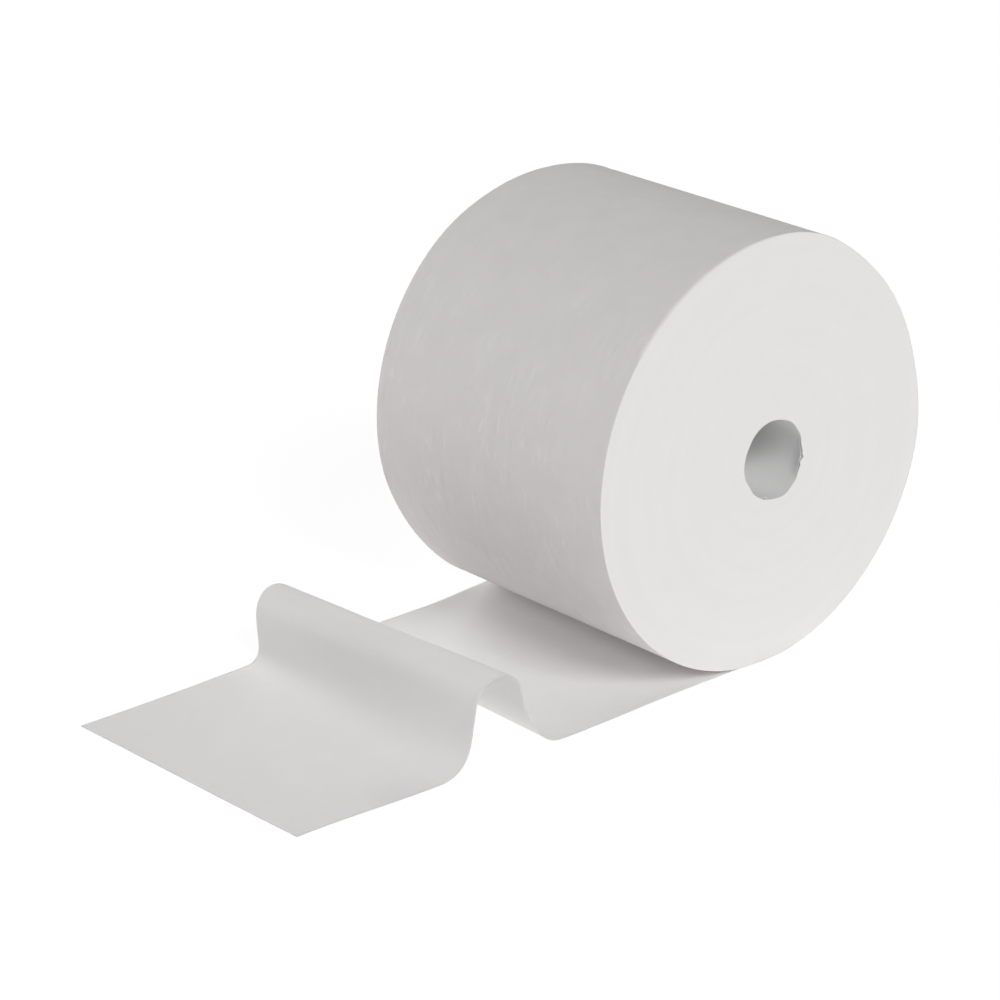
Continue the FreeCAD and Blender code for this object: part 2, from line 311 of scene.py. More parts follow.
def piece_from_tree(name, tree, values):
    """Runs a geometry tree with these inputs and keeps what it makes as a plain mesh object."""
    piece = link_object(name, bpy.data.meshes.new(name))
    modifier = piece.modifiers.new(tree.name, "NODES")
    modifier.node_group = tree
    for item in tree.interface.items_tree:
        if item.in_out == "INPUT":
            modifier[item.identifier] = values[item.name]
    evaluated = piece.evaluated_get(bpy.context.evaluated_depsgraph_get())
    mesh = bpy.data.meshes.new_from_object(evaluated)
    piece.modifiers.remove(modifier)
    piece.data = mesh
    mesh.name = name
    # The grid's own empty slot isn't kept.
    if mesh.materials[0] is None:
        mesh.materials.pop(index=0)
    return piece


# ---- Materials ----

ROUGHNESS = 0.92
# How high a pattern's relief and the grain stand at full strength.
RELIEF = 0.2 * MM
GRAIN = 0.06 * MM
# The share of the grain's clouds in the tone. The pattern has the rest: soft bands in an end face,
# and elsewhere the painted shade of the crepe, darker in its furrows and lighter on its ridges.
CLOUD_SHARE = 0.3
# The strength of the patterns that are faint.
END_RELIEF = 0.07
BORE_RELIEF = 0.06
WEB_RELIEF = 0.04
GRAIN_SIZES = {"Fibre Size": 1.2 * MM, "Cloud Size": 30 * MM}
PATTERN_SIZES = {
    "crepe": {"Spacing": 5.2 * MM, "Line Length": 16 * MM},
    "winding": {"Turn Spacing": 0.9 * MM},
}
# Layers of crepe lines, each with its length and strength, and the share of the strength that the
# grooves between them have.
CREPE_LAYERS = ((1.0, 1.0), (2.3, 0.7))
GROOVE_SHARE = 0.7
# Broad and small patches of crepe in a metre.
BROAD_PATCHES = 17.0
SMALL_PATCHES = 55.0
# The heights between which the crepe grows fainter, and the share that is left above them.
FAINTER_FROM = 60 * MM
FAINTER_TO = 180 * MM
FAINT_SHARE = 0.4
# How far the rings in an end face wander.
RING_DRIFT = 2 * MM
# A Mix node's colour sockets.
MIX_A, MIX_B, MIX_RESULT = 6, 7, 2


def grain_group():
    """Soft fibre grain: short tangled fibres, and larger clouds where the paper is thicker."""
    graph, given, sink = new_tree(
        "fibre_grain", "ShaderNodeTree",
        {"Vector": "Vector", "Fibre Size": "Float", "Cloud Size": "Float"},
        {"Height": "Float", "Clouds": "Float"})
    warp = graph.wire("ShaderNodeTexNoise",
                      {"Vector": given["Vector"], "Scale": 0.35 / given["Fibre Size"],
                       "Detail": 1.0}, output="Color")
    tangled = graph.wire("ShaderNodeVectorMath",
                         {0: warp, "Scale": given["Fibre Size"] * 2.5}, operation="SCALE")
    bent = graph.wire("ShaderNodeVectorMath", {0: given["Vector"], 1: tangled}, operation="ADD")
    fibres = graph.noise(bent, 1.0 / given["Fibre Size"], 3.0, 0.62)
    clouds = graph.noise(given["Vector"], 1.0 / given["Cloud Size"], 3.0, 0.55)
    finish_tree(graph, sink, {"Height": fibres, "Clouds": graph.ramp(clouds, -0.5, 0.5)})
    return graph.tree


def crepe_group():
    """Fine broken ridges that run round the roll, in patches, and are fainter on top of it. Its
    second output is painted shade: darker in the furrows and lighter on the ridges.
    """
    graph, given, sink = new_tree(
        "crepe_lines", "ShaderNodeTree",
        {"Vector": "Vector", "Spacing": "Float", "Line Length": "Float"},
        {"Height": "Float", "Bands": "Float"})
    x, y, z = graph.parts(given["Vector"])
    layers = []
    for stretch, weight in CREPE_LAYERS:
        reach = given["Line Length"] * stretch
        lines = graph.noise(graph.vector(x / given["Spacing"] + stretch, y / reach, z / reach),
                            1.0, 1.0, 0.5)
        raised = graph.ramp(lines, 0.12, 0.55, 0.0, weight, smooth=True)
        sunken = graph.ramp(lines, -0.55, -0.2, weight * GROOVE_SHARE, 0.0, smooth=True)
        layers.append(raised - sunken)
    broad = graph.noise(given["Vector"], BROAD_PATCHES, 2.0)
    small = graph.noise(given["Vector"], SMALL_PATCHES, 1.0)
    patches = (graph.ramp(broad, -0.35, 0.4, 0.1, 1.0, smooth=True)
               * graph.ramp(small, -0.5, 0.3, 0.25, 1.0, smooth=True))
    fainter = graph.ramp(z, FAINTER_FROM, FAINTER_TO, 1.0, FAINT_SHARE, smooth=True)
    ridges = total(layers) * patches * fainter
    # The second output is painted shade: the paper is painted darker in the furrows and lighter on
    # the ridges.
    finish_tree(graph, sink, {"Height": ridges, "Bands": graph.ramp(ridges, -0.5, 0.7)})
    return graph.tree


def winding_group():
    """The edges of the turns in an end face: fine rings about the bore and broad soft bands."""
    graph, given, sink = new_tree(
        "winding_lines", "ShaderNodeTree", {"Vector": "Vector", "Turn Spacing": "Float"},
        {"Height": "Float", "Bands": "Float"})
    y, z = graph.parts(given["Vector"])[1:]
    from_axis = graph.math("SQRT", y * y + z * z)
    drift = graph.noise(given["Vector"], 9.0, 1.0) * RING_DRIFT
    rings = graph.noise(graph.vector((from_axis + drift) / given["Turn Spacing"],
                                     y * 4.0, z * 4.0), 1.0, 3.0, 0.65)
    bands = graph.noise(graph.vector((from_axis + drift) * 90.0, y * 3.0, z * 3.0), 1.0, 2.0)
    finish_tree(graph, sink, {"Height": rings, "Bands": graph.ramp(bands, -0.5, 0.5)})
    return graph.tree


def group_outputs(graph, tree, inputs):
    """Places a node group in a material and returns its outputs by name."""
    node = graph.node("ShaderNodeGroup", inputs, node_tree=tree)
    return {socket.name: Wire(graph, socket) for socket in node.outputs}


def paper_material(name, groups, pattern, pattern_strength, colour, shade, translucency):
    """White paper with the fibre grain and a pattern of larger relief. The shade is how dark its
    darker places are: the grain's clouds, the soft bands of an end face, and the painted shade in
    the crepe's furrows."""
    material = bpy.data.materials.new(name)
    material.diffuse_color = (*colour, 1.0)
    graph = cleared_graph(material)
    place = {"Vector": graph.wire("ShaderNodeTexCoord", output="Object")}
    grain = group_outputs(graph, groups["grain"], place | GRAIN_SIZES)
    relief = group_outputs(graph, groups[pattern], place | PATTERN_SIZES[pattern])
    # The clouds are the paper's own tone. With the crepe, the pattern's share is painted shade in
    # its furrows and painted light on its ridges.
    mix = grain["Clouds"] * CLOUD_SHARE + relief["Bands"] * (1 - CLOUD_SHARE)
    dark = (*[part * shade for part in colour], 1.0)
    tone = graph.wire("ShaderNodeMix", {0: mix, MIX_A: dark, MIX_B: (*colour, 1.0)},
                      output=MIX_RESULT, data_type="RGBA")
    larger = graph.wire("ShaderNodeBump", {"Height": relief["Height"],
                                           "Strength": pattern_strength, "Distance": RELIEF})
    normal = graph.wire("ShaderNodeBump", {
        "Height": grain["Height"], "Strength": bpy.context.scene.wiper_look.grain,
        "Distance": GRAIN, "Normal": larger})
    surface = graph.wire("ShaderNodeBsdfPrincipled",
                         {"Base Color": tone, "Roughness": ROUGHNESS,
                          "Specular IOR Level": 0.0, "Normal": normal})
    if translucency:
        through = graph.wire("ShaderNodeBsdfTranslucent", {"Color": tone, "Normal": normal})
        surface = graph.wire("ShaderNodeMixShader", {0: translucency, 1: surface, 2: through})
    output = graph.node("ShaderNodeOutputMaterial", {"Surface": surface})
    output.location.x += graph.COLUMN_WIDTH
    return material


def material_set():
    """The papers, made once and shared by the pieces."""
    look = bpy.context.scene.wiper_look
    papers = {
        "paper_side": ("crepe", look.crepe, look.side, look.crease_shade, 0.0),
        "paper_end": ("winding", END_RELIEF, look.paper, look.shade, 0.0),
        "paper_bore": ("crepe", BORE_RELIEF, look.bore, look.shade, 0.0),
        "paper_web": ("crepe", WEB_RELIEF, look.sheet, look.shade, look.see_through),
    }
    if "paper_side" in bpy.data.materials:
        return {name: bpy.data.materials[name] for name in papers}
    groups = {"grain": grain_group(), "crepe": crepe_group(), "winding": winding_group()}
    return {name: paper_material(name, groups, *values) for name, values in papers.items()}


# ---- The wound roll ----

# Rows of the roll's section, from the bore's right mouth over the outside and back through it.
SECTION_ROWS = (("right_mouth", 5), ("right_face", 44), ("right_rim", 5), ("side", 290),
                ("left_rim", 5), ("left_face", 40), ("left_mouth", 4), ("bore_wall", 60))
ROLL_SEGMENTS = 180
# The tables of the bore's mouths are in degrees and millimetres. Here each row is a direction, a
# half width, how far the innermost turns are spread (+) or lean in (-) there, and how deep.
RIGHT_MOUTH = ((-62, 36, 3.1, 90), (-10, 4, 2.0, 5), (-17, 6, -1.4, 4), (10, 15, -1.8, 8),
               (32, 25, -0.8, 12), (80, 30, -0.5, 20), (130, 20, 0.5, 60), (-130, 40, -0.8, 30),
               (-150, 20, -1.3, 8), (-42, 12, 1.0, 12), (108, 40, 0.7, 25))
LEFT_MOUTH = ((70, 60, 1.4, 80), (160, 40, 1.8, 60), (-100, 45, 2.4, 70), (15, 8, 1.6, 4))
# Where the first turn of the web has come away from the others, in the same terms.
RIGHT_LOOSE = ((-11, 62, -3.3, 14), (-10, 4, -2.0, 5), (-106, 8, -2.4, 5))
LEFT_LOOSE = ((60, 25, -1.6, 8), (150, 9, -2.2, 6), (-60, 14, -1.6, 5))
# Where the wall stands back behind a loose turn: direction, half width, how far, and how deep.
RIGHT_GAP = (-12, 44, 1.6, 4)
LEFT_GAP = (60, 30, 1.4, 4)
# Where the edge of the first turn is torn back: direction, half width and how far.
RIGHT_TORN = ((-84, 7, 2.2),)
LEFT_TORN = ((35, 7, 3.2), (-140, 9, 2.5))
TORN_DEPTH = 9 * MM
# Inner radii of the bands of turns that stand back in each end face, their width, the share of it
# that each edge of a band takes up, and how unevenly the turns lie beside the bands.
WINDING_STEPS = (64 * MM, 85 * MM, 108 * MM, 133 * MM, 160 * MM)
STEP_BAND = 7 * MM
STEP_EDGE = 0.15
STEP_WANDER = 0.6
# The right rim is bent over between the top and the front: the angles between which that begins
# and ends, and how many times its rounding grows.
BENT_BEGINS = (78, 118)
BENT_ENDS = (140.4, 142.4)
BENT_GROWTH = 3.2
# The ragged edges of the innermost turns: how fine, how far and how deep.
RAGGED_SCALE = 11.0
RAGGED_REACH = 0.3 * MM
RAGGED_DEPTH = 3 * MM
# Where the roll has settled: a size, the middle of the place, half of its flat part and half of
# all of it in degrees, the end that has settled, and how fast that dies away from there.
SETTLED = (("Slack", 33, 15, 46, "right", 1.5), ("Left Slack", 98, 6, 32, "left", 2.0),
           ("Front Flat", 216, 3, 26, "left", 2.0))
# The last turn's edge: how far it wanders, where it falls away, and how high it stands.
EDGE_DRIFT = 1.2 * MM
EDGE_FALL = (-1.2 * MM, 0.6 * MM)
EDGE_HEIGHT = 0.35 * MM
# The creases: spacing along the roll, length round it, and patches in a metre.
CREASE_SPACING = 3.4 * MM
CREASE_LENGTH = 45 * MM
CREASE_PATCHES = 13.0
SWELL_WIDTH = 70 * MM
SWELL_LENGTH = 220 * MM
SWELL_HEIGHT = 0.12 * MM
# How high the flat underside lies above the floor, and how softly it runs into the round.
UNDERSIDE_LIFT = 0.3 * MM
UNDERSIDE_BLEND = 0.8 * MM
SEED_STEP = 3.7
MERGE_DISTANCE = 0.001 * MM


def number_sockets(values):
    """The kinds of input that take these numbers."""
    return {name: "Int" if isinstance(value, int) else "Float" for name, value in values.items()}


def wound_grid(graph, segments, rows):
    """A flat grid to wind about the bore's axis. Returns its mesh and each point's angle, the
    cosine and sine of that, and the point's place up the grid, from -0.5 to 0.5."""
    grid = graph.wire("GeometryNodeMeshGrid",
                      {"Size X": 1.0, "Size Y": 1.0, "Vertices X": segments + 1,
                       "Vertices Y": rows + 1})
    flat_x, flat_y = graph.parts(graph.wire("GeometryNodeInputPosition"))[:2]
    turn = (flat_x + 0.5) * FULL_TURN - QUARTER_TURN
    return grid, turn, graph.math("COSINE", turn), graph.math("SINE", turn), flat_y


def wound_surface(graph, grid, position, flipped=True):
    """Winds the grid into a closed smooth surface. Flipped faces come to point outwards."""
    shaped = graph.wire("GeometryNodeSetPosition", {"Geometry": grid, "Position": position})
    merged = graph.wire("GeometryNodeMergeByDistance",
                        {"Geometry": shaped, "Distance": MERGE_DISTANCE})
    outward = graph.wire("GeometryNodeFlipFaces", {"Mesh": merged, "Selection": flipped})
    smooth = graph.wire("GeometryNodeSetShadeSmooth", {"Geometry": outward, "Shade Smooth": True})
    return graph.wire("GeometryNodeRealizeInstances", {"Geometry": smooth})


def with_material(graph, geometry, material, faces=True):
    """Gives these faces the material."""
    return graph.wire("GeometryNodeSetMaterial",
                      {"Geometry": geometry, "Selection": faces, "Material": material})


def mouth_spread(graph, turn, depth, shape):
    """How far the innermost turns are spread or lean in, at a depth inside one mouth."""
    places = []
    for degrees, half_width, reach, reach_depth in shape:
        fade = graph.ramp(depth, 0.0, reach_depth * MM, 1.0, 0.0)
        places.append(graph.bump_at(turn, degrees, half_width) * fade * fade * (reach * MM))
    return total(places)


def gap_behind(graph, turn, depth, gap):
    """How far the wall stands back behind a loose turn, at a depth inside one mouth."""
    degrees, half_width, reach, reach_depth = gap
    done = graph.ramp(depth, 0.0, reach_depth * MM)
    return graph.bump_at(turn, degrees, half_width) * done * (1.0 - done) * 4.0 * (reach * MM)


def roll_tree(materials, values):
    """Turns the roll's section about its axis, then settles, creases and winds it unevenly."""
    graph, given, sink = new_tree("wind_roll", "GeometryNodeTree", number_sockets(values),
                                  {"Geometry": "Geometry"})
    rows = sum(count for name, count in SECTION_ROWS)
    grid, turn, cosine, sine, up = wound_grid(graph, ROLL_SEGMENTS, rows)
    row = (up + 0.5) * float(rows)
    grid = graph.wire("GeometryNodeStoreNamedAttribute",
                      {"Geometry": grid, "Name": "section_row", "Value": row},
                      data_type="FLOAT", domain="FACE")

    along, first = {}, {}
    start = 0
    for name, count in SECTION_ROWS:
        along[name] = graph.ramp(row, float(start), float(start + count))
        first[name] = start
        start += count

    def rise(name):
        return graph.math("SINE", along[name] * QUARTER_TURN)

    def fall(name):
        return 1.0 - graph.math("COSINE", along[name] * QUARTER_TURN)

    # Places on the section: x along the bore, and out from the axis.
    half = given["Width"] * 0.5
    mouth = given["Mouth Rounding"]
    bent_over = (graph.ramp(turn, *map(math.radians, BENT_BEGINS), smooth=True)
                 * graph.ramp(turn, *map(math.radians, BENT_ENDS), 1.0, 0.0))
    left_rim = given["Rim Rounding"]
    right_rim = left_rim * (1.0 + bent_over * BENT_GROWTH)
    x = (half - mouth + mouth * rise("right_mouth") - right_rim * fall("right_rim")
         - (half * 2.0 - right_rim - left_rim) * along["side"]
         - left_rim * rise("left_rim") + mouth * fall("left_mouth")
         + (half - mouth) * (1.0 - graph.math("COSINE", along["bore_wall"] * math.pi)))

    # The innermost turns are spread or lean in at the mouths, and their edges are ragged.
    bore = given["Bore Radius"]
    ragged = graph.noise(graph.vector(cosine * RAGGED_SCALE, sine * RAGGED_SCALE, 2.0),
                         1.0, 3.0, 0.7)
    wide = {}
    for side, shape, gap, edge in (("right", RIGHT_MOUTH, RIGHT_GAP, half - x),
                                   ("left", LEFT_MOUTH, LEFT_GAP, x + half)):
        depth = edge - mouth
        wide[side] = (mouth_spread(graph, turn, depth, shape)
                      + gap_behind(graph, turn, depth, gap)
                      + ragged * graph.ramp(depth, 0.0, RAGGED_DEPTH, RAGGED_REACH, 0.0))
    mouths = {side: bore + value for side, value in wide.items()}
    out = (mouths["right"] + mouth * fall("right_mouth")
           + (given["Radius"] - right_rim - mouths["right"] - mouth) * along["right_face"]
           + right_rim * rise("right_rim") - left_rim * fall("left_rim")
           - (given["Radius"] - left_rim - mouths["left"] - mouth) * along["left_face"]
           - mouth * rise("left_mouth")
           + wide["right"] * graph.ramp(along["bore_wall"], 0.0, 0.001))
    outness = graph.ramp(out, bore, given["Radius"])
    is_side = graph.ramp(along["side"], 0.0, 0.01) * graph.ramp(along["side"], 0.99, 1.0, 1.0, 0.0)
    seed_shift = given["Seed"] * SEED_STEP

    # The roll has settled: its upper rear is slack at the right end, and the top and the front
    # of the left end are a little flat.
    rightness = graph.ramp(x, half * -1.0, half)
    nearness = {"right": rightness, "left": 1.0 - rightness}
    dips = []
    for size, middle, inner, outer, end, power in SETTLED:
        away = graph.math("ABSOLUTE", turn - math.radians(middle))
        dip = graph.ramp(away, math.radians(inner), math.radians(outer), 1.0, 0.0, smooth=True)
        dips.append(dip * nearness[end] ** power * given[size])
    out = out * (1.0 - total(dips) * outness * outness)

    # Bands of turns stand back in both ends, each way from the middle of the roll.
    bands = []
    for radius in WINDING_STEPS:
        away = graph.math("ABSOLUTE", out - (radius + STEP_BAND / 2))
        bands.append(graph.ramp(away, STEP_BAND * STEP_EDGE, STEP_BAND * (1 - STEP_EDGE),
                                1.0, 0.0, smooth=True))
    ends = (graph.ramp(along["right_face"], 0.02, 0.06) - graph.ramp(along["right_face"], 0.97, 1.0)
            - graph.ramp(along["left_face"], 0.0, 0.03) + graph.ramp(along["left_face"], 0.95, 0.98))
    wander = graph.noise(graph.vector(outness * 7.0 + seed_shift, cosine * 0.8, sine * 0.8), 1.0)
    x = x - ends * given["Step Depth"] * (total(bands) + wander * STEP_WANDER)

    # The last turn's left edge lies inside the end of the roll, and wanders.
    drift = graph.noise(graph.vector(cosine * 1.3, sine * 1.3, seed_shift), 1.0) * EDGE_DRIFT
    inside = graph.ramp(x + half - given["Edge Inset"] - drift, *EDGE_FALL, smooth=True)
    out = out - (1.0 - inside) * is_side * EDGE_HEIGHT

    # Fine creases run round the roll in patches, over slow swells.
    ring_y, ring_z = cosine * given["Radius"], sine * given["Radius"]
    fine = graph.noise(graph.vector(x / CREASE_SPACING, ring_y / CREASE_LENGTH + seed_shift,
                                    ring_z / CREASE_LENGTH), 1.0, 1.5, 0.55)
    patch = graph.noise(graph.vector(x, ring_y, ring_z + seed_shift), CREASE_PATCHES, 1.0)
    creases = fine * graph.ramp(patch, -0.4, 0.3, 0.3, 1.0, smooth=True) * given["Crease Depth"]
    swell = graph.noise(graph.vector(x / SWELL_WIDTH, ring_y / SWELL_LENGTH,
                                     ring_z / SWELL_LENGTH + seed_shift), 1.0, 1.0)
    out = out + is_side * (creases + (swell - 1.0) * SWELL_HEIGHT)

    # The bore's axis and the middle of the outline are apart, and the turns between share that.
    y = cosine * out - given["Bore Setback"] * outness
    z = sine * out + given["Bore Drop"] * outness
    z = graph.math("SMOOTH_MAX", z, UNDERSIDE_LIFT - given["Floor Drop"], UNDERSIDE_BLEND)

    # The side and the bore have their own paper, which ends two rows inside the roundings.
    made = wound_surface(graph, grid, graph.vector(x, y, z))
    row_of_face = graph.wire("GeometryNodeInputNamedAttribute", {"Name": "section_row"},
                             data_type="FLOAT")
    on_side = (graph.math("GREATER_THAN", row_of_face, float(first["right_rim"]) + 2.0)
               * graph.math("LESS_THAN", row_of_face, float(first["left_face"]) - 2.0))
    in_bore = (graph.math("GREATER_THAN", row_of_face, float(first["left_mouth"]) + 2.0)
               + graph.math("LESS_THAN", row_of_face, 2.0))
    made = with_material(graph, made, materials["paper_end"])
    made = with_material(graph, made, materials["paper_side"], on_side)
    made = with_material(graph, made, materials["paper_bore"], in_bore)
    finish_tree(graph, sink, {"Geometry": made})
    return graph.tree


class WIPER_OT_wound_roll(bpy.types.Operator):
    """Wind the roll"""
    bl_idname = "wiper_roll.wound_roll"
    bl_label = "Wound Roll"

    def execute(self, context):
        sizes = context.scene.wiper_roll
        values = {key.replace("_", " ").title(): getattr(sizes, key)
                  for key in WIPER_PG_roll.__annotations__}
        piece = piece_from_tree("wound_roll", roll_tree(material_set(), values), values)
        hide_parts(CAD_NODE)
        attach(piece, "root")
        return {"FINISHED"}


# ---- The innermost turn ----

INNER_SEGMENTS = 480
INNER_ROWS = 22
INNER_DEPTH = 60 * MM
LIP_DEPTH = 2.6 * MM
# How far inside the wall of the bore the turn stands, and how far and where it sinks into it.
STANDING = 0.15 * MM
BURIED = 0.6 * MM
BURIED_DEPTHS = (15 * MM, 40 * MM)
# The torn edge: how fine its waves and its tufts are, how far it stands out from the roll, and
# how far the waves go up and along and the tufts along.
TORN_SCALE = 9.0
TUFT_SCALE = 26.0
EDGE_STANDING = 0.12 * MM
TORN_RISE = 0.35 * MM
TORN_REACH = 0.3 * MM
TUFT_REACH = 1.2 * MM
INNER_SEED_STEP = 5.3


def inner_turn_tree(name, materials, values, shape, torn_places):
    """The first turn of the web, come loose at one mouth of the bore, with a torn edge."""
    graph, given, sink = new_tree(name, "GeometryNodeTree", number_sockets(values),
                                  {"Geometry": "Geometry"})
    grid, turn, cosine, sine, up = wound_grid(graph, INNER_SEGMENTS, 2 * INNER_ROWS)
    seed = given["Seed"] * INNER_SEED_STEP

    # Rows run up the bore's side of the turn to its edge and back down the other side.
    outer_side = graph.ramp(up, -0.001, 0.001)
    from_edge = graph.math("ABSOLUTE", up * 2.0)
    depth = given["Depth"] * from_edge * from_edge * from_edge

    # The turn starts inside the wall of the bore and comes out of it, and its edge is torn.
    torn = graph.noise(graph.vector(cosine * TORN_SCALE, sine * TORN_SCALE, seed), 1.0, 3.0, 0.7)
    tufts = graph.noise(graph.vector(cosine * TUFT_SCALE, sine * TUFT_SCALE, seed), 1.0, 2.0, 0.6)
    tufts = graph.math("MAXIMUM", tufts - 0.25, 0.0)
    buried = graph.ramp(depth, *BURIED_DEPTHS, 0.0, BURIED, smooth=True)
    lip = graph.ramp(depth, 0.0, LIP_DEPTH, 1.0, 0.0)
    out = (given["Bore Radius"] - STANDING + buried
           + mouth_spread(graph, turn, depth - given["Thickness"], shape)
           + torn * lip * TORN_RISE
           + outer_side * given["Thickness"] * graph.ramp(from_edge, 0.0, 0.2, 0.6, 1.0)
           * graph.ramp(from_edge, 0.96, 1.0, 1.0, 0.0))
    x = (given["Half Width"] - depth
         + (EDGE_STANDING + torn * TORN_REACH + tufts * TUFT_REACH) * lip)
    for degrees, half_width, reach in torn_places:
        x = x - (graph.bump_at(turn, degrees, half_width) * (reach * MM)
                 * graph.ramp(depth, 0.0, TORN_DEPTH, 1.0, 0.0))
    made = wound_surface(graph, grid, graph.vector(x * given["Side"], cosine * out, sine * out),
                         graph.math("GREATER_THAN", given["Side"], 0.0))
    finish_tree(graph, sink, {"Geometry": with_material(graph, made, materials["paper_bore"])})
    return graph.tree


class WIPER_OT_inner_turn(bpy.types.Operator):
    """Line both mouths of the bore with the innermost turn"""
    bl_idname = "wiper_roll.inner_turn"
    bl_label = "Inner Turn"

    def execute(self, context):
        sizes = context.scene.wiper_roll
        for name, side, shape, torn_places in (
                ("inner_turn_right", 1.0, RIGHT_MOUTH + RIGHT_LOOSE, RIGHT_TORN),
                ("inner_turn_left", -1.0, LEFT_MOUTH + LEFT_LOOSE, LEFT_TORN)):
            values = {
                "Bore Radius": sizes.bore_radius,
                "Half Width": sizes.width / 2,
                "Thickness": context.scene.wiper_web.thickness,
                "Depth": INNER_DEPTH,
                "Side": side,
                "Seed": sizes.seed,
            }
            tree = inner_turn_tree(name, material_set(), values, shape, torn_places)
            piece = piece_from_tree(name, tree, values)
            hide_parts(CAD_NODE)
            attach(piece, "root")
        return {"FINISHED"}


# ---- The web that has been pulled off ----

WEB_COLUMNS = 96
WEB_STEP = 2.4 * MM
SPAN_ROWS = 24
# How softly the paper's bends run into its straight runs, all over and, in the middle of the web,
# round the bend that ends the hump: that bend's number and how far round it that goes on.
SMOOTHING = 5 * MM
SOFTENING = 14 * MM
TOE_SPAN = 8
SOFT_REACH = 40 * MM
# Room under the web, and beside it within the length of the roll.
FLOOR_GAP = 0.08 * MM
EDGE_GAP = 0.25 * MM
# The reaches between which the left edge comes down from the roll, the waves begin, and the edges
# run out and in.
NIP_FALL = (62 * MM, 150 * MM)
WAVES_BEGIN = (70 * MM, 150 * MM)
RUN_OUT = (70 * MM, 230 * MM)
RUN_IN = (370 * MM, 540 * MM)
# How far before and beyond the end of the hump the left edge is raised.
TOE_BEFORE = 30 * MM
TOE_BEYOND = 110 * MM
# The share of the roll's curve that the left edge follows.
NIP_FOLLOW = 0.96
# The waves in the flat runs: height, turns along and across, and start.
WAVES = ((0.5, 62, 2.1, 0.0), (1.0, 31, -3.4, 1.0), (0.6, 14, 5.2, 0.6))
WAVES_LOWEST = -2.1
WAVES_SHARE = 0.25


def edge_line(roll, web, edge):
    """Follows the underside of one edge of the web from below the roll to the cut, in rows of
    reach and height. Each bend or straight run has SPAN_ROWS of them, so that the same row of both
    edges is the same place in the hump."""
    slopes = [0.0, 0.0, edge.foot_angle, edge.back_angle, edge.back_angle, 0.0,
              -edge.crown_angle, -edge.front_angle, -edge.front_angle, 0.0, 0.0]
    radii = [0.0, web.foot_radius, web.bend_radius, 0.0, -edge.shoulder_radius,
             -edge.crown_radius, -edge.corner_radius, 0.0, edge.toe_radius, 0.0]

    def rise(span):
        return radii[span] * (math.cos(slopes[span]) - math.cos(slopes[span + 1]))

    crest = edge.hump_height
    back = (crest - rise(1) - rise(2) - rise(4)) / math.sin(slopes[3])
    front = (crest + rise(5) + rise(6) + rise(8)) / math.sin(-slopes[7])
    runs = {0: roll.radius + edge.hump_gap, 3: back, 7: front, 9: edge.end_run}

    lengths, turns = [], []
    for span, radius in enumerate(radii):
        bend = slopes[span + 1] - slopes[span]
        span_length = runs[span] if span in runs else radius * bend
        lengths += [span_length / SPAN_ROWS] * SPAN_ROWS
        shares = (np.arange(SPAN_ROWS) + 0.5) / SPAN_ROWS
        turns += list(slopes[span] + bend * shares)
    lengths, turns = np.array(lengths), np.array(turns)

    # Paper bends a little before and after each bend, so the slope is smoothed along its length.
    middle = np.cumsum(lengths) - lengths / 2
    weight = np.exp(-((middle[:, None] - middle[None, :]) / SMOOTHING) ** 2 / 2) * lengths
    turns = (weight @ turns) / weight.sum(axis=1)
    reach = np.concatenate([[0.0], np.cumsum(lengths * np.cos(turns))])
    height = np.concatenate([[0.0], np.cumsum(lengths * np.sin(turns))])

    # What the smoothing moves is given back along the length, so that the web ends on the floor.
    share_done = np.linspace(0.0, 1.0, len(height))
    height = height - height[-1] * np.clip((share_done - 0.1) / 0.8, 0.0, 1.0)
    return np.stack([reach, np.maximum(height, 0.0)], axis=1)


def smoothstep(value, start, end):
    """Zero before start, one after end, and smooth between."""
    done = np.clip((value - start) / (end - start), 0.0, 1.0)
    return done * done * (3 - 2 * done)


